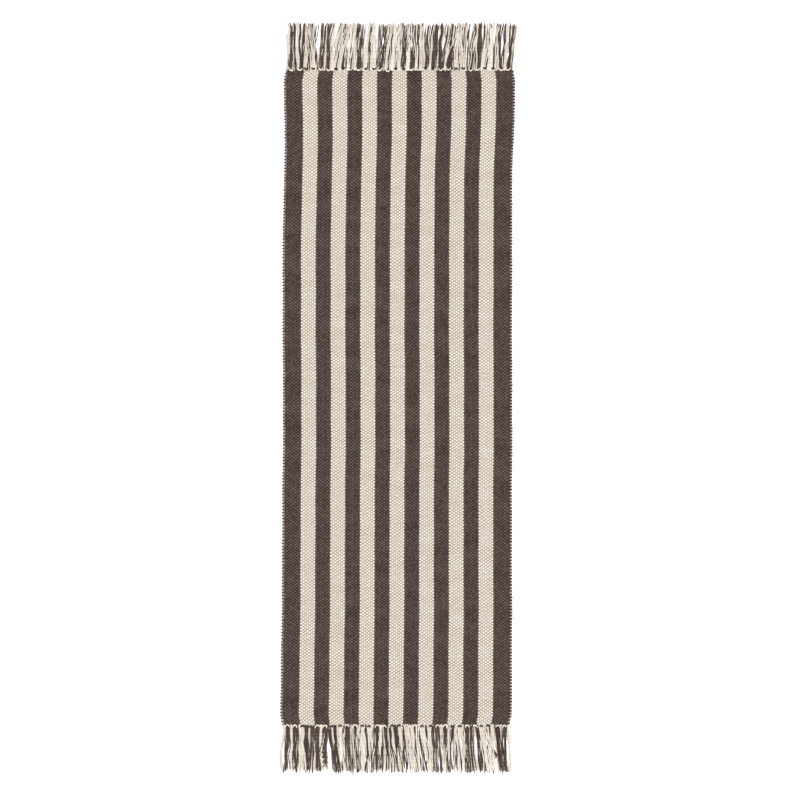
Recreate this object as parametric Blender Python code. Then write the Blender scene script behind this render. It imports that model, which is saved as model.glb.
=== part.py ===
"""A double-faced, warp-striped runner rug with a fringe at both ends. Metres, +Z up.

X runs across the rug and Y along it. The origin is on the floor, under the middle of the rug. "near" is
the half towards -Y and "far" the half towards +Y; they meet at the line where the rug folds in half.
"""

import math

import bmesh
import bpy
from mathutils import Vector

# Overall sizes
CLOTH_WIDTH = 0.700
CLOTH_LENGTH = 2.000
FRINGE_LENGTH = 0.128
FRINGE_THICKNESS = 0.006

# The cloth's layers, from the floor up
REVERSE_THICKNESS = 0.0028
WEFT_THICKNESS = 0.0010
FACE_THICKNESS = 0.0028

# Stripes
STRIPES = 15
INNER_STRIPE_YARNS = 7
OUTER_STRIPE_YARNS = 8
YARN_RIB_DEPTH = 0.0011
POINTS_PER_RIB = 4
BAND_GROOVE_DEPTH = 0.0006
BAND_GROOVE_HALF_WIDTH = 0.0008
WEFT_LOOP_REACH = 0.0015

# Hitches and fringe
BUNDLES = 10
TASSELS_PER_BUNDLE = 3
LOCKS_PER_TASSEL = 2
HITCH_ROW_DEPTH = 0.012
HITCH_YARN = 0.004
HITCH_SPREAD = 0.80
HITCH_ARC_STEPS = 6
HITCH_MOUTH_STEPS = 4
FRINGE_ROOT = 0.010
LOCK_GAP = 0.0016
LOCK_TIP_SHARE = 0.55
LOCK_TIP_LENGTH = 0.012

# Room between pieces
GAP = 0.0003
REST_GAP = 0.0008

CLOTH_THICKNESS = REVERSE_THICKNESS + GAP + WEFT_THICKNESS + GAP + FACE_THICKNESS
HALF_LENGTH = CLOTH_LENGTH / 2
WARP_WIDTH = CLOTH_WIDTH - 2 * WEFT_LOOP_REACH
YARNS = INNER_STRIPE_YARNS * (STRIPES - 2) + OUTER_STRIPE_YARNS * 2
YARN_PITCH = WARP_WIDTH / YARNS
HITCH_ROW_END = HALF_LENGTH + HITCH_ROW_DEPTH

# A flipped fringe lies REST_GAP above the cloth, and the fold leaves room for both fringes, flipped.
FLIP_AXIS_HEIGHT = (CLOTH_THICKNESS + FRINGE_THICKNESS + REST_GAP) / 2
FOLD_AXIS_HEIGHT = 2 * FLIP_AXIS_HEIGHT + REST_GAP

NEAR, FAR = -1, 1
END_NAMES = {NEAR: "near", FAR: "far"}


def yarn_material(name, colour, roughness):
    material = bpy.data.materials.new(name)
    material.use_nodes = True
    shader = material.node_tree.nodes["Principled BSDF"]
    shader.inputs["Base Color"].default_value = (*colour, 1)
    shader.inputs["Roughness"].default_value = roughness
    shader.inputs["Metallic"].default_value = 0
    return material


def axis_empty(name, location, parent=None):
    """An empty on a joint's axis, which the pieces that turn about it hang from."""
    empty = bpy.data.objects.new(name, None)
    empty.location = location
    empty.empty_display_size = 0.05
    bpy.context.collection.objects.link(empty)
    if parent:
        hang(empty, parent)
    return empty


def hang(thing, axis):
    bpy.context.view_layer.update()
    thing.parent = axis
    thing.matrix_parent_inverse = axis.matrix_world.inverted()


def prism(name, outline, along, material, axis=None):
    """A solid made by extruding a flat outline, a list of Vectors, by the Vector along."""
    shape = bmesh.new()
    face = shape.faces.new([shape.verts.new(point) for point in outline])
    swept = bmesh.ops.extrude_face_region(shape, geom=[face])
    moved = [item for item in swept["geom"] if isinstance(item, bmesh.types.BMVert)]
    bmesh.ops.translate(shape, verts=moved, vec=along)
    bmesh.ops.recalc_face_normals(shape, faces=shape.faces)
    mesh = bpy.data.meshes.new(name)
    shape.to_mesh(mesh)
    shape.free()
    mesh.materials.append(material)
    piece = bpy.data.objects.new(name, mesh)
    bpy.context.collection.objects.link(piece)
    if axis:
        hang(piece, axis)
    return piece


def half_span(end):
    """Where a half of the cloth starts, at the fold, and ends, in Y."""
    return end * GAP / 2, end * HALF_LENGTH


def stripe_edges():
    """The left and right edge of each stripe, and its number of warp yarns."""
    left = -WARP_WIDTH / 2
    for number in range(STRIPES):
        outer = number in (0, STRIPES - 1)
        yarns = OUTER_STRIPE_YARNS if outer else INNER_STRIPE_YARNS
        right = left + yarns * YARN_PITCH
        yield left, right, yarns
        left = right


def face_band(name, left, right, yarns, end, material, axis):
    """One stripe of the face's warp: flat below and ribbed on top, a rib for each yarn."""
    start, stop = half_span(end)
    low = CLOTH_THICKNESS - FACE_THICKNESS
    left, right = left + GAP / 2, right - GAP / 2
    steps = yarns * POINTS_PER_RIB
    outline = [Vector((left, start, low)), Vector((right, start, low))]
    for step in range(steps, -1, -1):
        across = 2 * (step % POINTS_PER_RIB) / POINTS_PER_RIB - 1
        height = CLOTH_THICKNESS - YARN_RIB_DEPTH * across**2
        outline.append(Vector((left + (right - left) * step / steps, start, height)))
    return prism(name, outline, Vector((0, stop - start, 0)), material, axis)


def reverse_layer(name, end, material, axis):
    """The reverse's warp: its bands lie side by side, with a groove below between each two."""
    start, stop = half_span(end)
    edge = WARP_WIDTH / 2
    outline = [Vector((edge, start, REVERSE_THICKNESS)), Vector((-edge, start, REVERSE_THICKNESS))]
    outline.append(Vector((-edge, start, 0)))
    for _, right, _ in list(stripe_edges())[:-1]:
        outline.append(Vector((right - BAND_GROOVE_HALF_WIDTH, start, 0)))
        outline.append(Vector((right, start, BAND_GROOVE_DEPTH)))
        outline.append(Vector((right + BAND_GROOVE_HALF_WIDTH, start, 0)))
    outline.append(Vector((edge, start, 0)))
    return prism(name, outline, Vector((0, stop - start, 0)), material, axis)


def weft_layer(name, end, material, axis):
    """The weft's picks as one sheet between the warps, with its turning loops proud of both edges."""
    start, stop = half_span(end)
    low = REVERSE_THICKNESS + GAP
    high = low + WEFT_THICKNESS
    edge = CLOTH_WIDTH / 2
    middle = (low + high) / 2
    outline = [
        Vector((-edge, start, middle)),
        Vector((-edge + WEFT_THICKNESS / 2, start, low)),
        Vector((edge - WEFT_THICKNESS / 2, start, low)),
        Vector((edge, start, middle)),
        Vector((edge - WEFT_THICKNESS / 2, start, high)),
        Vector((-edge + WEFT_THICKNESS / 2, start, high)),
    ]
    return prism(name, outline, Vector((0, stop - start, 0)), material, axis)


def half_ring(centre, radius_x, radius_y, base, steps):
    """Points over the half ellipse that rises from base towards the cloth, from left to right."""
    for step in range(steps + 1):
        angle = math.pi * (1 - step / steps)
        yield centre + radius_x * math.cos(angle), base - radius_y * math.sin(angle)


def hitch_row(name, end, material, axis):
    """The row of U-shaped hitches that closes one end of the cloth, over the cord they are tied on.

    Each point is (x, distance beyond the cloth's end). A U's closed side is towards the cloth.
    """
    hitches = BUNDLES * TASSELS_PER_BUNDLE
    pitch = WARP_WIDTH / hitches
    shoulder = HITCH_ROW_DEPTH - HITCH_YARN
    radius = pitch * HITCH_SPREAD / 2
    mouth = radius - HITCH_YARN
    points = [(-WARP_WIDTH / 2, HITCH_ROW_DEPTH), (-WARP_WIDTH / 2, shoulder)]
    centres = [pitch * (number + 0.5) - WARP_WIDTH / 2 for number in range(hitches)]
    for centre in centres:
        points += half_ring(centre, radius, shoulder - GAP, shoulder, HITCH_ARC_STEPS)
    points += [(WARP_WIDTH / 2, shoulder), (WARP_WIDTH / 2, HITCH_ROW_DEPTH)]
    for centre in reversed(centres):
        points.append((centre + mouth, HITCH_ROW_DEPTH))
        arc = half_ring(centre, mouth, shoulder - GAP - HITCH_YARN, shoulder, HITCH_MOUTH_STEPS)
        points += reversed(list(arc))
        points.append((centre - mouth, HITCH_ROW_DEPTH))
    outline = [Vector((x, end * (HALF_LENGTH + beyond), 0)) for x, beyond in points]
    return prism(name, outline, Vector((0, 0, CLOTH_THICKNESS)), material, axis)


def tassel_bundle(name, number, end, material, axis):
    """Neighbouring tassels of the fringe, joined at their root, each with its cords in tapering locks."""
    pitch = WARP_WIDTH / BUNDLES
    left = pitch * number - WARP_WIDTH / 2 + GAP / 2
    right = left + pitch - GAP
    locks = TASSELS_PER_BUNDLE * LOCKS_PER_TASSEL
    lock_pitch = (right - left) / locks
    half_lock = (lock_pitch - LOCK_GAP) / 2
    points = [(right, 0), (left, 0)]
    for lock in range(locks):
        middle = left + lock_pitch * (lock + 0.5)
        shoulder = FRINGE_LENGTH - LOCK_TIP_LENGTH
        if lock > 0:
            points.append((middle - half_lock, FRINGE_ROOT))
        else:
            points.append((left, FRINGE_ROOT))
        points.append((middle - half_lock, shoulder))
        points.append((middle - half_lock * LOCK_TIP_SHARE, FRINGE_LENGTH))
        points.append((middle + half_lock * LOCK_TIP_SHARE, FRINGE_LENGTH))
        points.append((middle + half_lock, shoulder))
        if lock < locks - 1:
            points.append((middle + half_lock, FRINGE_ROOT))
        else:
            points.append((right, FRINGE_ROOT))
    outline = [Vector((x, end * (HITCH_ROW_END + GAP + beyond), 0)) for x, beyond in points]
    return prism(name, outline, Vector((0, 0, FRINGE_THICKNESS)), material, axis)


def main():
    for thing in list(bpy.data.objects):
        bpy.data.objects.remove(thing)

    dark = yarn_material("dark_brown_warp", (0.098, 0.071, 0.060), 0.9)
    cream = yarn_material("cream_warp", (0.708, 0.644, 0.539), 0.9)
    reverse = yarn_material("reverse_warp", (0.400, 0.355, 0.300), 0.9)
    weft = yarn_material("cream_weft", (0.740, 0.680, 0.580), 0.9)
    hitch = yarn_material("hitch_yarn", (0.760, 0.700, 0.600), 0.9)
    fringe = yarn_material("fringe_cord", (0.450, 0.400, 0.340), 0.9)

    fold_axis = axis_empty("fold_middle_axis", (0, 0, FOLD_AXIS_HEIGHT))
    flip_at = HITCH_ROW_END + GAP / 2
    near_flip = axis_empty("near_fringe_flip_axis", (0, -flip_at, FLIP_AXIS_HEIGHT))
    far_flip = axis_empty("far_fringe_flip_axis", (0, flip_at, FLIP_AXIS_HEIGHT), fold_axis)

    for end, cloth_axis, fringe_axis in ((NEAR, None, near_flip), (FAR, fold_axis, far_flip)):
        half = END_NAMES[end]
        for number, (left, right, yarns) in enumerate(stripe_edges()):
            shade, material = ("cream", cream) if number % 2 else ("dark", dark)
            name = f"stripe_{number + 1:02}_{shade}_{half}"
            face_band(name, left, right, yarns, end, material, cloth_axis)
        reverse_layer(f"reverse_layer_{half}", end, reverse, cloth_axis)
        weft_layer(f"weft_{half}", end, weft, cloth_axis)
        hitch_row(f"hitch_row_{half}", end, hitch, cloth_axis)
        for number in range(BUNDLES):
            name = f"tassels_{half}_{number + 1:02}"
            tassel_bundle(name, number, end, fringe, fringe_axis)


main()
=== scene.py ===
"""The looks of a double-faced, warp-striped runner rug. Metres, +Z up, X across the rug, Y along it.

The cloth is modelled yarn by yarn: every warp yarn rises over one weft pick and dives under the next, its
neighbours do the opposite, and the weft stays hidden inside but for its turns along both edges.
"""

import math

import bpy
import numpy as np
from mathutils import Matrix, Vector


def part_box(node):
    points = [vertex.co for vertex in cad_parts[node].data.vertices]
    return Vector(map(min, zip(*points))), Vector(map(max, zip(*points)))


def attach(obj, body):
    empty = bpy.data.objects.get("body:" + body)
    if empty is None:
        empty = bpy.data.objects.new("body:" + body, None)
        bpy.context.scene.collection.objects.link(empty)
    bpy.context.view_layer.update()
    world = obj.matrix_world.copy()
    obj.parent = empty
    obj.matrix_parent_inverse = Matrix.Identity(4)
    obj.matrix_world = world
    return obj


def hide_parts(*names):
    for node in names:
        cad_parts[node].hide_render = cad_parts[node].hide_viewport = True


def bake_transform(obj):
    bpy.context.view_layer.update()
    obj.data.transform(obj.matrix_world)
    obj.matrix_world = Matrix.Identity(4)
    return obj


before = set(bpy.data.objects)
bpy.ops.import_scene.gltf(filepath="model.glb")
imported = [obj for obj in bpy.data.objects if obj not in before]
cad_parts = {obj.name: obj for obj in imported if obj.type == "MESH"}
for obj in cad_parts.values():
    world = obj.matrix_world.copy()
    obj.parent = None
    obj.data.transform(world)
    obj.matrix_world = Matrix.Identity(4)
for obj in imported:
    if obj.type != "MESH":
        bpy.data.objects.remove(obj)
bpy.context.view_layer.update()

MM = 0.001

# ---------------------------------------------------------------- sizes read from the frame

STRIPES = 15
BUNDLES = 10
HITCHES = 30
SHADES = ["cream" if number % 2 else "dark" for number in range(STRIPES)]
STRIPE_NODES = [f"stripe_{number + 1:02}_{shade}" for number, shade in enumerate(SHADES)]
ENDS = {"near": -1, "far": 1}

FACE_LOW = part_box(f"{STRIPE_NODES[0]}_near")[0].z
CLOTH_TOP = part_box(f"{STRIPE_NODES[0]}_near")[1].z
REVERSE_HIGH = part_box("reverse_layer_near")[1].z
WARP_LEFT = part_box(f"{STRIPE_NODES[0]}_near")[0].x
WARP_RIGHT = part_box(f"{STRIPE_NODES[-1]}_near")[1].x
CLOTH_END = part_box("weft_far")[1].y
FRINGE_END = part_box("tassels_far_01")[1].y

# ---------------------------------------------------------------- small helpers


def seeded(*words):
    """A random generator that depends only on these words."""
    label = "".join(map(str, words))
    number = sum(ord(letter) * 31**place for place, letter in enumerate(label))
    return np.random.default_rng(number % 2**32)


def wander(where, drift, rng, waves=5):
    """A smooth random line. drift is how far it strays to either side, and over what length it changes."""
    size, length = drift
    line = np.zeros_like(where)
    for _ in range(waves):
        line += np.sin(where * math.tau / (length * rng.uniform(0.7, 2.2)) + rng.uniform(0, math.tau))
    return size * (line / math.sqrt(waves))


def smooth(value):
    """0 below 0, 1 above 1, and an even rise between."""
    value = np.clip(value, 0, 1)
    return value * value * (3 - 2 * value)


def bump(value, centre, reach):
    """1 at centre, falling off smoothly to both sides."""
    return np.exp(-(((value - centre) / reach) ** 2))


def skin(grid):
    """The quads over a grid of vertex numbers."""
    return np.stack([grid[:-1, :-1], grid[1:, :-1], grid[1:, 1:], grid[:-1, 1:]], -1).reshape(-1, 4)


# Widths are shares of the straight cloth's width, and places along the rug run from -1 to 1.
MIDDLE_WIDTH = 0.992
WIDER_AT_ENDS = 0.010
FAR_NECK, FAR_NECK_PLACE, FAR_NECK_REACH = 0.010, 0.70, 0.15
CORNER_DRAWN_IN, CORNER_PLACE, CORNER_REACH = 0.016, 0.965, 0.035
END_SWAY, MIDDLE_SWAY = 5.0 * MM, 1.2 * MM
FAR_SWAY, FAR_SWAY_PLACE, FAR_SWAY_REACH = 3.0 * MM, 0.80, 0.18
RIPPLE = 0.7 * MM


def lie(points):
    """How the rug lies: a little narrower in the middle and again towards its far end, drawn in at the
    corners, and gently bowed."""
    along = points[:, 1] / CLOTH_END
    width = MIDDLE_WIDTH + WIDER_AT_ENDS * along**2 - FAR_NECK * bump(along, FAR_NECK_PLACE, FAR_NECK_REACH)
    corner = 1 - CORNER_DRAWN_IN * smooth((np.abs(along) - CORNER_PLACE) / CORNER_REACH)
    sway = END_SWAY * along**3 - MIDDLE_SWAY * np.sin(math.pi * along) ** 2
    sway += FAR_SWAY * bump(along, FAR_SWAY_PLACE, FAR_SWAY_REACH)
    ripple = RIPPLE * np.sin(along * 19 + 1) * np.sin(along * 7)
    laid = points.copy()
    laid[:, 0] = points[:, 0] * width * corner + sway + ripple
    return laid


class Mesh:
    """Gathers vertices and faces, with the yarn coordinates that the materials read.

    The painted lighting is 0 where shade is painted into the colour, in the hollows between yarns and plies,
    and 1 on their crowns, and tone is a random shade.
    """

    def __init__(self, name):
        self.name = name
        self.points, self.relief, self.tone = [], [], []
        self.faces, self.yarn, self.bake, self.shade = [], [], [], []
        self.count = 0

    def add(self, points, faces, relief, tone, yarn, bake=None, shade=0):
        """faces are arrays of vertex numbers, yarn and bake hold one (u, v) for each face corner, and
        shade is the number of the material."""
        start = self.count
        self.points.append(points)
        self.relief.append(np.broadcast_to(relief, len(points)))
        self.tone.append(np.broadcast_to(tone, len(points)))
        self.count += len(points)
        for k, group in enumerate(faces):
            self.faces.append(group + start)
            self.yarn.append(yarn[k].reshape(-1, 2))
            self.bake.append((yarn if bake is None else bake)[k].reshape(-1, 2))
            self.shade.append(np.full(len(group), shade))

    def build(self, materials, with_bake_map=False):
        """The finished piece, with a bake map of its own when with_bake_map is set."""
        mesh = bpy.data.meshes.new(self.name)
        points = lie(np.concatenate(self.points))
        mesh.vertices.add(len(points))
        mesh.vertices.foreach_set("co", points.astype(np.float32).ravel())
        corners = np.concatenate([group.ravel() for group in self.faces])
        sizes = np.concatenate([np.full(len(group), group.shape[1]) for group in self.faces])
        mesh.loops.add(len(corners))
        mesh.loops.foreach_set("vertex_index", corners.astype(np.int32))
        mesh.polygons.add(len(sizes))
        mesh.polygons.foreach_set("loop_start", (np.cumsum(sizes) - sizes).astype(np.int32))
        mesh.polygons.foreach_set("material_index", np.concatenate(self.shade).astype(np.int32))
        mesh.update(calc_edges=True)
        mesh.validate()
        mesh.shade_smooth()
        mesh.set_sharp_from_angle(angle=math.radians(75))
        maps = [("yarn", self.yarn)] + ([("OFBake", self.bake)] if with_bake_map else [])
        for name, places in maps:
            layer = mesh.uv_layers.new(name=name)
            layer.uv.foreach_set("vector", np.concatenate(places).astype(np.float32).ravel())
        for name, values in (("relief", self.relief), ("tone", self.tone)):
            layer = mesh.attributes.new(name, "FLOAT", "POINT")
            layer.data.foreach_set("value", np.concatenate(values).astype(np.float32))
        for material in materials:
            mesh.materials.append(material)
        piece = bpy.data.objects.new(self.name, mesh)
        bpy.context.collection.objects.link(piece)
        return piece


# ---------------------------------------------------------------- warp bands

YARNS_PER_STRIPE = [8] + [7] * (STRIPES - 2) + [8]
YARNS = sum(YARNS_PER_STRIPE)
YARN_PITCH = (WARP_RIGHT - WARP_LEFT) / YARNS
FLOATS = round(2 * CLOTH_END / (9.4 * MM))
FLOAT_PITCH = 2 * CLOTH_END / FLOATS
ROWS_PER_FLOAT = 6
STEPS_PER_YARN = 4
ROWS = ROWS_PER_FLOAT * FLOATS

# How far a yarn's two edges swing out where it floats on top, and how far the outermost yarns stand out.
TOOTH = 1.7 * MM
EDGE_TOOTH = 3.2 * MM
EDGE_YARN_EXTRA = 3.3 * MM
BEAD_SHARPNESS = 2.6

# A yarn's height from the inner side of its layer: at its sides, and on its crown, which swells over a
# pick. It is less at the ends of the cloth, and on the reverse.
HOLLOW_HEIGHT = 0.75 * MM
CROWN_HEIGHT = 1.05 * MM
CROWN_SWELL = 0.9 * MM
CROWN_ROUNDNESS = 2.2
LEAST_PLUMP, MORE_PLUMP = 0.8, 0.32
END_HEIGHT, END_GAIN, END_REACH = 0.55, 0.45, 3 * MM
REVERSE_HEIGHT = 0.9

# How far each of these strays from even, and over what length.
PICK_DRIFT = (0.45 * MM, 90 * MM)
LINE_EARLY = (0.5 * MM, 26 * MM)
LINE_SIDEWAYS = (0.18 * MM, 120 * MM)
TOOTH_UNEVEN = (0.25, 14 * MM)
YARN_EARLY = (0.55 * MM, 26 * MM)
SLOPE_CHANGE = (1.5, 38 * MM)
TONE_FADE = (0.14, 70 * MM)

# How a float slants: this slope, times a share that differs from yarn to yarn.
FLOAT_SLOPE = 0.22
SLOPE_SHARE, SLOPE_SPREAD = 0.75, 0.8

YARN_TONE = 0.12
FLOAT_TONE = 0.62


def yarn_edges(side):
    """The line between each two warp yarns, one row for each: a yarn is wide where it floats on top."""
    where = np.linspace(0, 2 * CLOTH_END, ROWS + 1)
    picks = where + wander(where, PICK_DRIFT, seeded("picks", side))
    lines = []
    for number in range(YARNS + 1):
        rng = seeded("edge", side, number)
        early = wander(where, LINE_EARLY, rng)
        phase = math.tau * (picks + early) / FLOAT_PITCH + math.pi * number
        sideways = wander(where, LINE_SIDEWAYS, rng)
        uneven = 1 + wander(where, TOOTH_UNEVEN, rng)
        swing = -TOOTH * uneven * np.cos(phase)
        if number in (0, YARNS):
            outwards = -1 if number == 0 else 1
            outermost_yarn = max(number - 1, 0)
            bead = 1 - 2 * np.abs(np.sin((phase - math.pi * outermost_yarn) / 2)) ** BEAD_SHARPNESS
            swing = outwards * (EDGE_TOOTH * uneven * bead + EDGE_YARN_EXTRA)
        lines.append(WARP_LEFT + YARN_PITCH * number + swing + sideways)
    return where, picks, np.array(lines)


def float_turns(side, first, yarns, local, share, where, picks):
    """How far along its over and under each point of a band is, in whole turns: a whole number is the
    middle of a float. Each yarn slants in its own way, and comes a little early or late."""
    slope = np.empty((yarns, ROWS + 1))
    early = np.empty((yarns, ROWS + 1))
    for k in range(yarns):
        rng = seeded("slope", side, first + k)
        share_of_slope = SLOPE_SHARE + rng.normal(0, SLOPE_SPREAD) + wander(where, SLOPE_CHANGE, rng)
        slope[k] = FLOAT_SLOPE * share_of_slope
        early[k] = wander(where, YARN_EARLY, rng)
    lean = slope[local] * (share - 0.5) * YARN_PITCH
    return (picks + early[local] - lean) / FLOAT_PITCH + (first + local)[:, None] / 2


def float_surface(side, first, yarns, local, share, where, turns):
    """The height, painted lighting and tone of each point of a band. Each float is its own plumpness and
    shade.
    """
    float_number = np.floor(turns + 0.5).astype(int)
    floats = seeded("floats", side, first).uniform(0, 1, (yarns, float_number.max() + 4))
    yarn = local[:, None]
    on_top = np.cos(math.tau * turns)

    rise = 1 - np.abs(2 * share - 1) ** CROWN_ROUNDNESS
    swell = CROWN_HEIGHT + CROWN_SWELL * on_top
    height = HOLLOW_HEIGHT + rise * swell * (LEAST_PLUMP + MORE_PLUMP * floats[yarn, float_number + 2])
    at_end = smooth(np.minimum(where, 2 * CLOTH_END - where) / END_REACH)
    height *= END_HEIGHT + END_GAIN * at_end
    if side < 0:
        height *= REVERSE_HEIGHT

    # Painted shade: none on a float's crown, and nearly full where the yarn dives and at its sides.
    relief = 0.1 * rise + 0.9 * rise**0.4 * (0.5 + 0.5 * on_top) ** 0.6

    rng = seeded("shade", side, first)
    yarn_tone = rng.uniform(-YARN_TONE, YARN_TONE, yarns)[yarn]
    fade = wander(where, TONE_FADE, rng)
    tone = 0.5 + yarn_tone + fade + FLOAT_TONE * (floats[yarn, float_number + 1] - 0.5)
    return height, relief, np.clip(tone, 0, 1)


def warp_band(name, side, first, yarns, where, picks, lines, material):
    """One stripe of one face: yarns side by side, closed underneath.

    side is 1 for the face and -1 for the reverse, and first is the number of its first yarn.
    """
    steps = yarns * STEPS_PER_YARN
    column = np.arange(steps + 1)
    local = np.minimum(column // STEPS_PER_YARN, yarns - 1)
    share = (column - local * STEPS_PER_YARN) / STEPS_PER_YARN
    left, right = lines[first + local], lines[first + local + 1]
    x = left + (right - left) * share[:, None]
    turns = float_turns(side, first, yarns, local, share[:, None], where, picks)
    height, relief, tone = float_surface(side, first, yarns, local, share[:, None], where, turns)

    inner = FACE_LOW if side > 0 else REVERSE_HIGH
    y = np.broadcast_to(where - CLOTH_END, x.shape)
    crowns = np.stack([x, y, inner + side * height], -1)
    under = np.stack([x[[0, -1]], y[[0, -1]], np.full((2, ROWS + 1), inner)], -1)
    for at_edge, outermost, outwards in ((first == 0, 0, -1), (first + yarns == YARNS, -1, 1)):
        if at_edge:
            # The rug's outermost yarn is round: its side stands highest and widest in the middle of a float.
            floating = 0.5 + 0.5 * np.cos(math.tau * turns[outermost])
            crowns[outermost, :, 2] = inner + side * (0.3 + 0.8 * floating) * MM
            under[outermost, :, 0] -= outwards * (0.5 + 0.9 * floating) * MM
            under[outermost, :, 2] -= side * 0.6 * MM
    points = np.concatenate([crowns, under]).reshape(-1, 3)

    width = ROWS + 1
    grid = np.arange((steps + 3) * width).reshape(steps + 3, width)
    ring = np.concatenate([grid[: steps + 1], grid[[steps + 2, steps + 1, 0]]])
    faces = [skin(ring), ring[:-1, 0][::-1][None], ring[:-1, -1][None]]
    if side < 0:
        faces = [group[:, ::-1] for group in faces]

    across = (local + share + first) * YARN_PITCH
    under_across = [across[0] - YARN_PITCH / 5, across[steps] + YARN_PITCH / 5]
    plain = np.stack([np.repeat([*across, *under_across], width), np.tile(where, steps + 3)], -1)
    yarn = [plain[group] for group in faces]
    bake = folded_map(faces, steps, width)
    mesh = Mesh(name)
    # The hidden sides underneath are painted in full shade.
    full_painted_lighting = np.concatenate([relief.ravel(), np.zeros(2 * width)])
    full_tone = np.concatenate([tone.ravel(), np.full(2 * width, 0.5)])
    mesh.add(points, faces, full_painted_lighting, full_tone, yarn, bake)
    return mesh.build([material], with_bake_map=True)


def folded_map(faces, steps, width, lengths=7):
    """A square map for a long band: its crowned side in several lengths side by side, and its hidden sides
    in a narrow strip beside them."""
    rows = -(-(width - 1) // lengths)
    quads = faces[0]
    column, row = quads // width, quads % width
    length = (row.min(1) // rows)[:, None]
    crowned = (column <= steps).all(1)[:, None]
    along = (row - length * rows) / rows
    crowned_u = (length + 0.03 + 0.94 * column / steps) / (lengths + 1)
    hidden_u = (lengths + 0.1 + 0.1 * (column > steps)) / (lengths + 1)
    main = np.stack([np.where(crowned, crowned_u, hidden_u), np.where(crowned, along, row / width)], -1)
    caps = [np.full(group.shape + (2,), 0.99) for group in faces[1:]]
    return [main] + caps


# ---------------------------------------------------------------- cords


def tube(mesh, path, radius, tone, relief, shade=0, sides=8, lobes=0.0, ply_turn=0.0):
    """A cord along path, closed at both ends: a round section, or a two-ply one that turns as it goes.

    The painted lighting is a pair: what the cord has between its plies, where shade is painted, and what it
    gains on them.
    """
    path = np.asarray(path, float)
    radius = np.broadcast_to(radius, len(path))
    step = np.linalg.norm(np.diff(path, axis=0), axis=1)
    length = np.concatenate([[0], np.cumsum(step)])
    tangent = np.gradient(path, axis=0)
    tangent /= np.linalg.norm(tangent, axis=1)[:, None]
    across = np.cross(tangent, (0, 0, 1.0))
    across /= np.maximum(np.linalg.norm(across, axis=1)[:, None], 1e-9)
    up = np.cross(across, tangent)
    angle = math.tau * np.arange(sides) / sides
    turned = angle[None] - ply_turn * length[:, None]
    ply = np.abs(np.cos(turned))
    ring = radius[:, None, None] * (1 + lobes * (ply - 0.6))[..., None]
    points = path[:, None] + ring * (
        np.cos(angle)[None, :, None] * across[:, None] + np.sin(angle)[None, :, None] * up[:, None]
    )
    count = len(path)
    grid = np.arange(count * sides).reshape(count, sides)
    faces = [skin(np.concatenate([grid, grid[:, :1]], 1)), grid[0][None], grid[-1][::-1][None]]
    girth = np.arange(sides + 1) / sides * math.tau * radius.mean()
    u0, u1 = np.tile(girth[:-1], count - 1), np.tile(girth[1:], count - 1)
    v0, v1 = np.repeat(length[:-1], sides), np.repeat(length[1:], sides)
    corners = ((u0, v0), (u0, v1), (u1, v1), (u1, v0))
    yarn = [
        np.stack([np.stack(corner, -1) for corner in corners], 1),
        np.stack([girth[:-1], np.zeros(sides)], -1)[None],
        np.stack([girth[:-1], np.full(sides, length[-1])], -1)[None],
    ]
    # Painted shade in the grooves between the plies, less of it on each ply's crown.
    mesh.add(points.reshape(-1, 3), faces, (relief[0] + relief[1] * ply).ravel(), tone, yarn, shade=shade)


# ---------------------------------------------------------------- the weft

WEFT_CLEAR = 0.2 * MM
RIB_HEIGHT = 0.18 * MM
LOOP_RADIUS = 1.0 * MM
LOOP_DEEP = 4.5 * MM
LOOP_RISE = 2.0 * MM
LOOP_FOOT = CLOTH_TOP - 3.4 * MM
# The loops are painted as in shade: low painted lighting all over, none more on their plies, and a tone kept
# off the palest end.
LOOP_PAINTED_LIGHTING = (0.42, 0.0)
# In millimetres: how far a loop reaches past its edge, and how far it is pulled in or out from that. The
# pull changes over the length that LOOP_PULLED gives.
LOOP_REACH, LOOP_REACH_SPREAD = -1.6, 0.3
LOOP_PULLED = (0.8, 70 * MM)
# A loop's half-width, as a share of the length of a float.
LOOP_HALF = (0.15, 0.19)


def selvedge_loops(mesh, rng):
    """The weft's turns: at each edge it comes out between two floats of the outermost warp yarn, turns and
    goes back in."""
    angle = np.linspace(-0.5, 0.5, 9) * math.pi
    for side in (-1, 1):
        edge = side * EDGE_YARN_EXTRA + (WARP_RIGHT if side > 0 else WARP_LEFT)
        late = 0.0 if side < 0 else YARNS % 2 / 2
        pulled = wander(np.arange(FLOATS) * FLOAT_PITCH, LOOP_PULLED, rng)
        for turn in range(FLOATS):
            middle = (turn + 0.5 + late) * FLOAT_PITCH - CLOTH_END
            if abs(middle) > CLOTH_END - FLOAT_PITCH / 2:
                continue
            reach = (LOOP_REACH + pulled[turn] + rng.normal(0, LOOP_REACH_SPREAD)) * MM
            half = FLOAT_PITCH * rng.uniform(*LOOP_HALF)
            x = edge + side * (reach - LOOP_DEEP + LOOP_DEEP * np.cos(angle) ** 0.8)
            y = middle + half * np.sin(angle) + rng.normal(0, 0.15) * MM
            z = LOOP_FOOT + LOOP_RISE * np.cos(angle * 0.9) ** 0.5 + rng.normal(0, 0.25) * MM
            path = np.stack([x, y, z], -1)
            tube(mesh, path, LOOP_RADIUS, rng.uniform(0.0, 0.6), LOOP_PAINTED_LIGHTING, sides=6)


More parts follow.
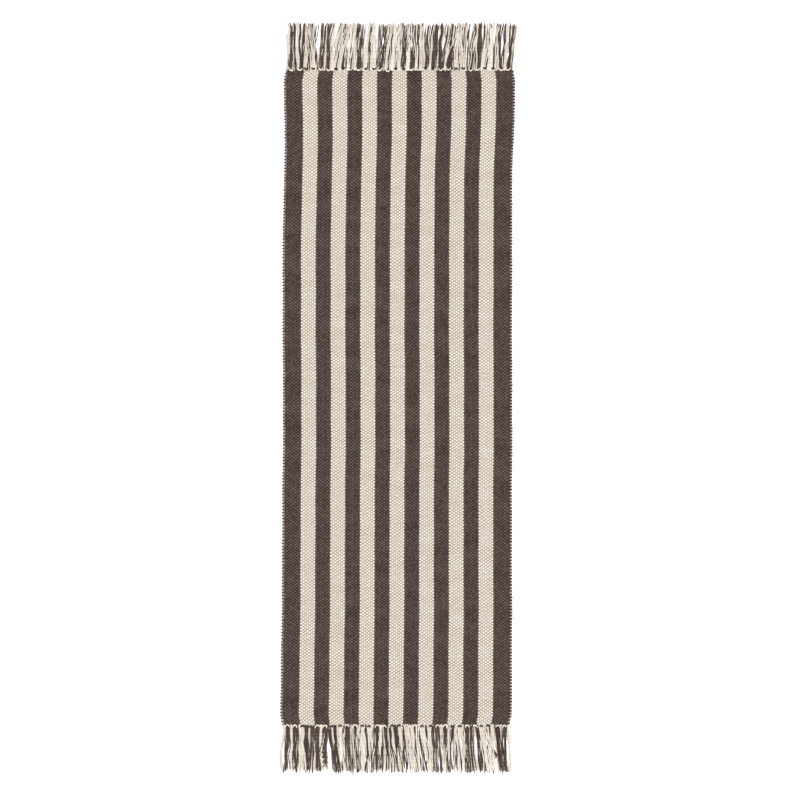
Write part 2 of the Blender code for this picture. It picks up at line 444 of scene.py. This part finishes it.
def weft_sheet(name, material):
    """The weft between the two warps: a ribbed sheet, a rib for each pick, and its turns at both edges."""
    mesh = Mesh(name)
    low, high = REVERSE_HIGH + WEFT_CLEAR, FACE_LOW - WEFT_CLEAR
    rows = ROWS // 3 * 2
    where = np.linspace(-CLOTH_END + MM, CLOTH_END - MM, rows + 1)
    columns = np.linspace(WARP_LEFT + 2 * MM, WARP_RIGHT - 2 * MM, 13)
    rib = RIB_HEIGHT * np.cos(math.tau * 2 * where / FLOAT_PITCH)
    layers = []
    for height, sign in ((high, 1), (low, -1)):
        x, y = np.meshgrid(columns, where, indexing="ij")
        z = np.broadcast_to(height - sign * RIB_HEIGHT + sign * rib, x.shape)
        layers.append(np.stack([x, y, z], -1))
    top, bottom = layers
    ring = np.concatenate([top, bottom[::-1]])
    grid = np.arange(len(ring) * (rows + 1)).reshape(len(ring), rows + 1)
    faces = [skin(np.concatenate([grid, grid[:1]])), grid[:, 0][::-1][None], grid[:, -1][None]]
    points = ring.reshape(-1, 3)
    yarn = [points[group][..., [1, 0]] for group in faces]
    # The weft sheet gets the same painted lighting all over, partly in painted shade.
    mesh.add(points, faces, 0.6, 0.5, yarn)
    selvedge_loops(mesh, seeded("selvedge"))
    return mesh.build([material])


# ---------------------------------------------------------------- hitches

# The numbers of the two materials in a piece that has both.
DARK, CREAM = 0, 1

HITCH_PITCH = (WARP_RIGHT - WARP_LEFT) / HITCHES
HITCH_CENTRES = WARP_LEFT + HITCH_PITCH * (np.arange(HITCHES) + 0.5)
HITCH_REACH = 8.5 * MM
HITCH_LOBES = 0.2
HITCH_PLY_TURN = 700
HITCH_DIVE = 2.2 * MM
HITCH_SURFACE = {1: CLOTH_TOP - 0.3 * MM, -1: 3.4 * MM}
# Painted shade on the hitches: all over and in the grooves between plies, more on dark yarn.
HITCH_PAINTED_LIGHTING = {DARK: (0.4, 0.3), CREAM: (0.6, 0.3)}
HITCH_TONE = {DARK: (0, 0.25), CREAM: (0.45, 1)}
HITCH_THICKNESS = (0.85, 1.1)
# How unevenly the hitches are set: their slant, and their places along and across the rug in millimetres.
HITCH_SLANT, HITCH_ALONG, HITCH_ACROSS = 0.2, 1.0, 1.3
# How much of the U is made, in half turns, with its least and greatest half-width and depth and its yarn's
# radius in millimetres: the whole of it, or only its closed side.
WHOLE_HITCH = {"arc": (-0.12, 1.12, 15), "wide": (5.8, 7.4), "deep": (7.0, 9.5), "radius": 2.4}
CRESCENT = {"arc": (0.1, 0.9, 9), "wide": (4.2, 6.0), "deep": (4.0, 6.0), "radius": 2.8}

STRIPE_ENDS = np.cumsum(YARNS_PER_STRIPE)


def shade_under(x):
    """Whether the face's stripe at x is dark or cream."""
    stripe = np.searchsorted(STRIPE_ENDS, int((x - WARP_LEFT) / YARN_PITCH), side="right")
    return CREAM if SHADES[stripe] == "cream" else DARK


def hitch(mesh, centre, end, side, shade, form, rng):
    """One U of yarn round the cloth's edge, closed side inwards. Its legs dive under the fringe."""
    angle = np.linspace(*form["arc"]) * math.pi
    wide, deep = rng.uniform(*form["wide"]) * MM, rng.uniform(*form["deep"]) * MM
    slant = rng.normal(0, HITCH_SLANT)
    x = -wide * np.cos(angle)
    beyond = HITCH_REACH + rng.normal(0, HITCH_ALONG) * MM - deep * np.sin(angle)
    x, beyond = x + slant * (beyond - HITCH_REACH / 2), beyond + slant * x * 0.6
    dive = (1 - np.clip(np.sin(angle), 0, 1)) ** 2 * HITCH_DIVE
    z = HITCH_SURFACE[side] - side * dive
    shift = rng.normal(0, HITCH_ACROSS) * MM
    path = np.stack([centre + shift + x, end * (CLOTH_END + beyond), z], -1)
    thickness = form["radius"] * MM * rng.uniform(*HITCH_THICKNESS)
    radius = thickness * (1 - 0.35 * np.abs(np.cos(angle)) ** 3)
    tone = rng.uniform(*HITCH_TONE[shade])
    tube(mesh, path, radius, tone, HITCH_PAINTED_LIGHTING[shade], shade, lobes=HITCH_LOBES, ply_turn=HITCH_PLY_TURN)


def hitch_row(name, end, materials):
    """Thirty U-shaped hitches on each face, in the yarn of the other face's stripe. A cream one shows whole
    on its dark stripe. A dark one shows only its closed side, because the cream fringe covers its legs."""
    mesh = Mesh(name)
    rng = seeded("hitches", end)
    for side in (1, -1):
        for centre in HITCH_CENTRES:
            own = shade_under(centre) if side > 0 else 1 - shade_under(centre)
            form = WHOLE_HITCH if own == DARK else CRESCENT
            hitch(mesh, centre, end, side, 1 - own, form, rng)
    return mesh.build(materials)


# ---------------------------------------------------------------- fringe

CORE_STRANDS = 8
SIDE_STRANDS = 5
STRAND_RINGS = 44
STRAND_SIDES = 7
STRAND_RADIUS = 1.65 * MM
STRAND_LOBES = 0.14
STRAND_PLY_TURN = 260
# Painted shade on the strands: all over and in the grooves between plies, more on dark yarn.
STRAND_PAINTED_LIGHTING = {DARK: (0.4, 0.4), CREAM: (0.52, 0.36)}
STRAND_SPACING = 2.6 * MM
STRAND_THICKNESS = (0.7, 1.2)
ABOVE_FLOOR = 1.12
ABOVE_CLOTH = 1.6 * MM
FRINGE_ROOT = CLOTH_END - 2 * MM
WIDEST_SPREAD = 20 * MM
WIDEST_LEAN = 22 * MM

# For each end: how far the fringe leans to the right, over what width from the left edge the lean grows,
# how far the fringe is cut past its CAD solids' end, and how tightly its locks hold together.
LEAN = {1: 11 * MM, -1: 17 * MM}
LEAN_GROWS = {1: 0.15, -1: 0.5}
CUT_PAST = {1: 1 * MM, -1: 4 * MM}
LOCK_HOLD = {1: 1.0, -1: 0.86}

LOCK_STRAY = 4.6 * MM
LOCK_WIGGLE = (1.8 * MM, 0.6)
LOCK_TONE = {DARK: (0, 0.45), CREAM: (0.05, 1.0)}
# Where a tassel's inner and outer locks start beside its hitch, in millimetres, and how they fan out.
CORE_ROOT, CORE_FAN = 3.6, 1.12
SIDE_ROOT, SIDE_FAN = 8.6, 1.04
# How often a hitch's core is of the reverse's shade, for each end and shade of stripe.
CORE_TURNED = {(1, DARK): 0.1, (1, CREAM): 0.5, (-1, DARK): 0.3, (-1, CREAM): 0.1}
# How often a tassel's dark, its cream or its stripe's own shade lies on top, for each end, and in which
# layer: 0 is the bottom of the fringe and 1 its top. The other shade's locks lie at least so far below it.
TOP_ODDS = {1: (0.22, 0.2, 0.58), -1: (0.3, 0.15, 0.55)}
TOP_LAYER, FURTHER_DOWN = (0.45, 0.95), 0.3
# How often a strand lies in the layer opposite to its lock's, and how its layer and tone differ from it.
SUNK_OR_RAISED = 0.1
LAYER_SPREAD = 0.12
TONE_SPREAD = 0.12

# How often a strand is cut long or strays far, and its spreads in millimetres.
CUT_LONG, LONG_BY = 0.04, (4, 11)
CUT_SPREAD = 4.0
STRAYS_FAR, FAR_STRAY, STRAY = 0.28, 8.0, 2.6
STRAND_WIGGLE, WIGGLE_LENGTH = 0.7 * MM, (0.4, 0.8)
STRAND_WAVE = (0.6 * MM, 0.4)
# As shares of a strand's length: where it has joined its lock, and from where and over how much it comes
# down to the floor, thins out at its cut end, and curls if its tassel is the curled one.
JOINS_LOCK = 0.12
COMES_DOWN, COMES_DOWN_OVER = 0.72, 0.28
THINS_OUT, THINS_OUT_OVER = 0.94, 0.06
CURLS_FROM, CURLS_OVER = 0.45, 0.3

# The far end and the near end are 1 and -1. One near tassel is curled up, and one crosses its neighbours.
CURLED_TASSEL = (-1, 5)
CURL_WIDE, CURL_LONG, CURL_SHORTENS = 3.2 * MM, 2.5 * MM, 14 * MM
CURL_RATE_ACROSS, CURL_RATE_ALONG = 52, 47
CROSSING_TASSEL, CROSSING_REACH = (-1, 26), 42 * MM


def strand(mesh, root_x, lock_x, place, shade, tone, layer, end, curl, rng):
    """One strand from the cloth's edge to its cut end. place is where it lies across its lock."""
    along = np.linspace(0, 1, STRAND_RINGS)
    reach = FRINGE_END - FRINGE_ROOT + CUT_PAST[end] + rng.normal(-1, CUT_SPREAD) * MM
    if rng.uniform() < CUT_LONG:
        reach += rng.uniform(*LONG_BY) * MM
    curled = smooth((along - CURLS_FROM) / CURLS_OVER)

    x = root_x + (lock_x + place - root_x) * smooth(along / JOINS_LOCK)
    stray = rng.normal(0, FAR_STRAY if rng.uniform() < STRAYS_FAR else STRAY) * MM
    x = x + stray * smooth((along - 0.05) / 0.95)
    x = x + wander(along, (STRAND_WIGGLE, rng.uniform(*WIGGLE_LENGTH)), rng, 3) * smooth(along * 4)
    x = x + curl * CURL_WIDE * curled * np.sin(along * CURL_RATE_ACROSS + rng.uniform(0, math.tau))

    y = FRINGE_ROOT + reach * along
    y = y + curl * CURL_LONG * curled * np.cos(along * CURL_RATE_ALONG + rng.uniform(0, math.tau))
    y = y - curl * CURL_SHORTENS * smooth((along - 0.4) / 0.6)

    high = STRAND_RADIUS + (CLOTH_TOP + ABOVE_CLOTH - 2 * STRAND_RADIUS) * layer
    z = CLOTH_TOP / 2 + (high - CLOTH_TOP / 2) * smooth(along * 9)
    z = z + wander(along, STRAND_WAVE, rng, 3) * smooth(along * 5)
    z = z + (STRAND_RADIUS - z) * smooth((along - COMES_DOWN) / COMES_DOWN_OVER) * 0.5

    thickness = STRAND_RADIUS * rng.uniform(*STRAND_THICKNESS)
    radius = thickness * (1 - 0.45 * smooth((along - THINS_OUT) / THINS_OUT_OVER))
    z = np.maximum(z, radius * ABOVE_FLOOR)
    x = np.clip(x, WARP_LEFT - WIDEST_SPREAD, WARP_RIGHT + WIDEST_SPREAD)
    tube(
        mesh, np.stack([x, end * y, z], -1), radius, tone, STRAND_PAINTED_LIGHTING[shade], shade,
        sides=STRAND_SIDES, lobes=STRAND_LOBES, ply_turn=STRAND_PLY_TURN,
    )


def tassel(mesh, centre, lean, end, curl, crossing, rng):
    """The free ends that pass one hitch, as 18 strands: a core of one shade in two locks, and the other
    shade's lock at each side."""
    along = np.linspace(0, 1, STRAND_RINGS)
    face = shade_under(centre)
    turned = rng.uniform() < CORE_TURNED[end, face]
    core = 1 - face if turned else face
    cut = int(rng.integers(3, CORE_STRANDS - 2))
    on_top = rng.choice([DARK, CREAM, face], p=TOP_ODDS[end])
    top_layer = rng.uniform(*TOP_LAYER)
    locks = [
        (core, -CORE_ROOT, CORE_FAN, cut), (core, CORE_ROOT, CORE_FAN, CORE_STRANDS - cut),
        (1 - core, -SIDE_ROOT, SIDE_FAN, SIDE_STRANDS), (1 - core, SIDE_ROOT, SIDE_FAN, SIDE_STRANDS),
    ]
    for shade, root, fan, count in locks:
        stray = rng.normal(0, LOCK_STRAY)
        path = centre + root * MM * (1 + (fan - 1) * smooth(along * 2)) + lean * along**1.3
        path = path + stray * smooth((along - 0.05) / 0.8)
        path = path + wander(along, LOCK_WIGGLE, rng, 3) * smooth(along * 3)
        if crossing and root == SIDE_ROOT:
            path = path + CROSSING_REACH * along**2.4
        lock_layer = top_layer if shade == on_top else rng.uniform(0, top_layer - FURTHER_DOWN)
        lock_tone = rng.uniform(*LOCK_TONE[shade])
        for number in range(count):
            offset = (number - (count - 1) / 2) * STRAND_SPACING
            root_x = centre + (root * 1.15) * MM + offset * 1.1
            hold = LOCK_HOLD[end] * rng.uniform(0.8, 1.1)
            place = offset * (hold + (1.1 - hold) * smooth((along - 0.5) / 0.5))
            layer = np.clip(lock_layer + rng.normal(0, LAYER_SPREAD), 0, 1)
            if rng.uniform() < SUNK_OR_RAISED:
                layer = 1 - layer
            tone = np.clip(lock_tone + rng.normal(0, TONE_SPREAD), 0, 1)
            strand(mesh, root_x, path, place, shade, tone, layer, end, curl, rng)


def tassel_leans(end, rng):
    """How far each tassel leans to the right: more and more from the left edge, unevenly, and drawn
    together or apart in pairs."""
    lean = LEAN[end] * (0.2 + 0.8 * smooth((HITCH_CENTRES - WARP_LEFT) / LEAN_GROWS[end]))
    lean += wander(HITCH_CENTRES, (5 * MM, 0.2), rng, 4) + rng.normal(0, 2.5, HITCHES) * MM
    left_or_right = np.arange(HITCHES) % 2 * 2 - 1
    lean -= left_or_right * np.repeat(rng.uniform(-3, 7, HITCHES // 2), 2) * MM
    return np.minimum(lean, WARP_RIGHT + WIDEST_LEAN - HITCH_CENTRES)


def fringe(end_name, end, materials):
    """One end's fringe, in bundles of three tassels."""
    rng = seeded("fringe", end)
    leans = tassel_leans(end, rng)
    per_bundle = HITCHES // BUNDLES
    pieces = []
    for bundle in range(BUNDLES):
        mesh = Mesh(f"fringe_{end_name}_{bundle + 1:02}")
        for number in range(bundle * per_bundle, (bundle + 1) * per_bundle):
            curl = 1.0 if (end, number) == CURLED_TASSEL else 0.0
            crossing = (end, number) == CROSSING_TASSEL
            tassel(mesh, HITCH_CENTRES[number], leans[number], end, curl, crossing, rng)
        piece = mesh.build(materials)
        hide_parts(f"tassels_{end_name}_{bundle + 1:02}")
        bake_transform(piece)
        pieces.append(piece)
    return pieces


# ---------------------------------------------------------------- materials


def linear(hex_colour):
    """An sRGB hex colour as the linear values that Blender's sockets take."""
    parts = [int(hex_colour[k : k + 2], 16) / 255 for k in (1, 3, 5)]
    return (*[p / 12.92 if p <= 0.04045 else ((p + 0.055) / 1.055) ** 2.4 for p in parts], 1.0)


def add_node(tree, kind, links=None, **settings):
    """A node with its settings, and its inputs as values or as the sockets they come from."""
    node = tree.nodes.new(kind)
    for name, value in settings.items():
        setattr(node, name, value)
    for name, value in (links or {}).items():
        if isinstance(value, bpy.types.NodeSocket):
            tree.links.new(value, node.inputs[name])
        else:
            node.inputs[name].default_value = value
    return node


# A wave texture's scale is this over the spacing of its bands.
WAVE_REPEAT = math.pi / 10
PLY_SPACING = 3.0 * MM
PLY_SLANT = math.radians(58)
# Fluff is far finer on real yarn. It is drawn this coarse, and twice as long along the yarn, to show.
FLUFF_PATCH = 2.8 * MM
DYE_PATCH = 45 * MM
# Weights of the ply grooves and of the painted lighting in the painted shade; the ply grooves also weigh in
# the bump.
PLY_SHARE, PAINTED_LIGHTING_SHARE = 0.22, 0.85
FLUFF_HEIGHT = 0.4 * MM


def spun_cotton(name, crown, painted_hollow_shade, pale, warm, fluffy):
    """Thick plied cotton yarn, spun soft and matt, with hardly a sheen.

    Its colour runs from crown, its own colour where the yarn stands up, to a painted shade colour in the
    hollows between two yarns and between its plies. pale is what the tone moves it to, from float to float,
    and warm is what the dye wanders to over a hand's breadth. Its plies show as fine slanting raised lines,
    with painted shade in the grooves between them, and loose fibre breaks the surface up, by as much as
    fluffy says.
    """
    material = bpy.data.materials.new(name)
    material.use_nodes = True
    tree = material.node_tree
    shader = tree.nodes["Principled BSDF"]
    place = add_node(tree, "ShaderNodeUVMap", uv_map="yarn").outputs["UV"]
    relief = add_node(tree, "ShaderNodeAttribute", attribute_name="relief").outputs["Fac"]
    tone = add_node(tree, "ShaderNodeAttribute", attribute_name="tone").outputs["Fac"]
    slanted = add_node(tree, "ShaderNodeMapping", {"Vector": place, "Rotation": (0, 0, PLY_SLANT)})
    plies = add_node(
        tree, "ShaderNodeTexWave",
        {"Vector": slanted.outputs[0], "Scale": WAVE_REPEAT / PLY_SPACING, "Distortion": 1.2, "Detail": 1.0},
    ).outputs["Fac"]
    drawn = add_node(tree, "ShaderNodeMapping", {"Vector": place, "Scale": (1.0, 0.5, 1.0)})
    fibre = add_node(
        tree, "ShaderNodeTexNoise", {"Vector": drawn.outputs[0], "Scale": 1 / FLUFF_PATCH, "Detail": 4.0}
    ).outputs["Fac"]
    dye = add_node(
        tree, "ShaderNodeTexNoise", {"Vector": drawn.outputs[0], "Scale": 1 / DYE_PATCH, "Detail": 2.0}
    ).outputs["Fac"]

    dyed = add_node(
        tree, "ShaderNodeMix", {"Factor": dye, "A": linear(crown), "B": linear(warm)}, data_type="RGBA"
    )
    shaded = add_node(
        tree, "ShaderNodeMix", {"A": dyed.outputs["Result"], "B": linear(pale)}, data_type="RGBA"
    )
    tree.links.new(tone, shaded.inputs["Factor"])
    # The ply texture raises the plies in the bump and paints shade into the grooves between them.
    ply_ridges_and_shade = add_node(tree, "ShaderNodeMath", {0: plies, 1: PLY_SHARE, 2: 0.0}, operation="MULTIPLY_ADD")
    fluff_and_ply_shade = add_node(
        tree, "ShaderNodeMath", {0: fibre, 1: fluffy, 2: ply_ridges_and_shade.outputs[0]}, operation="MULTIPLY_ADD"
    )
    shade_and_fluff = add_node(
        tree, "ShaderNodeMath", {0: relief, 1: PAINTED_LIGHTING_SHARE, 2: fluff_and_ply_shade.outputs[0]}, operation="MULTIPLY_ADD"
    )
    # Painted shade: the colour runs to the shade colour where the painted lighting and the ply grooves are
    # low, with fluff breaking it up.
    lit = add_node(
        tree, "ShaderNodeMapRange",
        {"Value": shade_and_fluff.outputs[0], "From Min": 0.08 + fluffy / 2, "From Max": 0.93 + fluffy / 2},
    )
    coloured = add_node(
        tree, "ShaderNodeMix",
        {"Factor": lit.outputs[0], "A": linear(painted_hollow_shade), "B": shaded.outputs["Result"]}, data_type="RGBA",
    )
    tree.links.new(coloured.outputs["Result"], shader.inputs["Base Color"])
    bumps = add_node(
        tree, "ShaderNodeBump", {"Height": fluff_and_ply_shade.outputs[0], "Strength": 0.5, "Distance": FLUFF_HEIGHT}
    )
    tree.links.new(bumps.outputs["Normal"], shader.inputs["Normal"])
    shader.inputs["Roughness"].default_value = 0.92
    shader.inputs["Sheen Weight"].default_value = 0.12
    shader.inputs["Sheen Roughness"].default_value = 0.5
    shader.inputs["Specular IOR Level"].default_value = 0.25
    return material


def painted_floor():
    """A plain matt white studio floor, faintly lit from below like a light table, so gaps stay white."""
    material = bpy.data.materials.new("matt_white_studio_floor")
    material.use_nodes = True
    shader = material.node_tree.nodes["Principled BSDF"]
    shader.inputs["Base Color"].default_value = linear("#f8f8f8")
    shader.inputs["Roughness"].default_value = 1.0
    shader.inputs["Specular IOR Level"].default_value = 0.0
    shader.inputs["Emission Color"].default_value = (1, 1, 1, 1)
    shader.inputs["Emission Strength"].default_value = 0.35
    return material


# Each yarn's darkest colour is painted shade, for the hollows between yarns and plies.
dark_yarn = spun_cotton(
    "dark_brown_spun_cotton", crown="#493931", painted_hollow_shade="#0b0806", pale="#6d5b54", warm="#45382e", fluffy=0.95
)
cream_yarn = spun_cotton(
    "cream_spun_cotton", crown="#ddd4c6", painted_hollow_shade="#7b7262", pale="#ece6da", warm="#d8cbbb", fluffy=0.45
)

# ---------------------------------------------------------------- the pieces

with_sheet = []

for side, face in ((1, "face"), (-1, "reverse")):
    where, picks, lines = yarn_edges(side)
    first = 0
    for stripe, yarns in enumerate(YARNS_PER_STRIPE):
        dark = (SHADES[stripe] == "dark") == (side > 0)
        shade = "dark" if dark else "cream"
        band = warp_band(
            f"{face}_warp_{stripe + 1:02}_{shade}", side, first, yarns, where, picks, lines,
            dark_yarn if dark else cream_yarn,
        )
        if side > 0:
            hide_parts(f"{STRIPE_NODES[stripe]}_near", f"{STRIPE_NODES[stripe]}_far")
        else:
            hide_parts("reverse_layer_near", "reverse_layer_far")
        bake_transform(band)
        with_sheet.append(band)
        first += yarns

weft = weft_sheet("weft", cream_yarn)
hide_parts("weft_near", "weft_far")
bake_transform(weft)

yarns_in_use = [dark_yarn, cream_yarn]
for end_name, end in ENDS.items():
    hitches = hitch_row(f"hitches_{end_name}", end, yarns_in_use)
    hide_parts(f"hitch_row_{end_name}")
    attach(hitches, f"{end_name}_cloth")
    with_sheet.append(hitches)
    with_sheet += fringe(end_name, end, yarns_in_use)

# ---------------------------------------------------------------- studio

bpy.ops.mesh.primitive_plane_add(size=30, location=(0, 0, 0))
floor = bpy.context.object
floor.name = "studio_floor"
floor.data.materials.append(painted_floor())

world = bpy.data.worlds.new("studio_air")
bpy.context.scene.world = world
world.use_nodes = True
air = world.node_tree.nodes["Background"]
air.inputs["Color"].default_value = (1, 1, 1, 1)
air.inputs["Strength"].default_value = 0.42


def add_softbox(name, place, strength, softness):
    """A big softbox far away: even over the whole rug, with soft-edged shadows. softness is in degrees."""
    light = bpy.data.lights.new(name, "SUN")
    light.energy = strength
    light.angle = math.radians(softness)
    box = bpy.data.objects.new(name, light)
    box.location = place
    box.rotation_euler = (-Vector(place)).to_track_quat("-Z", "Y").to_euler()
    bpy.context.collection.objects.link(box)


add_softbox("key_softbox", (-0.7, -2.3, 2.5), 3.7, 24)
add_softbox("fill_softbox", (1.2, 2.0, 3.5), 0.6, 60)

# The camera looks straight down from far away. FIELD is the width of floor that it sees.
FIELD = 2.4444
LENS = 150
SENSOR = 36
view_centre = Vector((7.7 * MM, -7.6 * MM, CLOTH_TOP))
camera_data = bpy.data.cameras.new("overhead_camera")
camera_data.lens = LENS
camera_data.sensor_width = SENSOR
camera_data.clip_end = 100
camera = bpy.data.objects.new("overhead_camera", camera_data)
camera.location = view_centre + Vector((0, 0, FIELD * LENS / SENSOR))
bpy.context.collection.objects.link(camera)
bpy.context.scene.camera = camera
bpy.context.scene.view_settings.view_transform = "Standard"
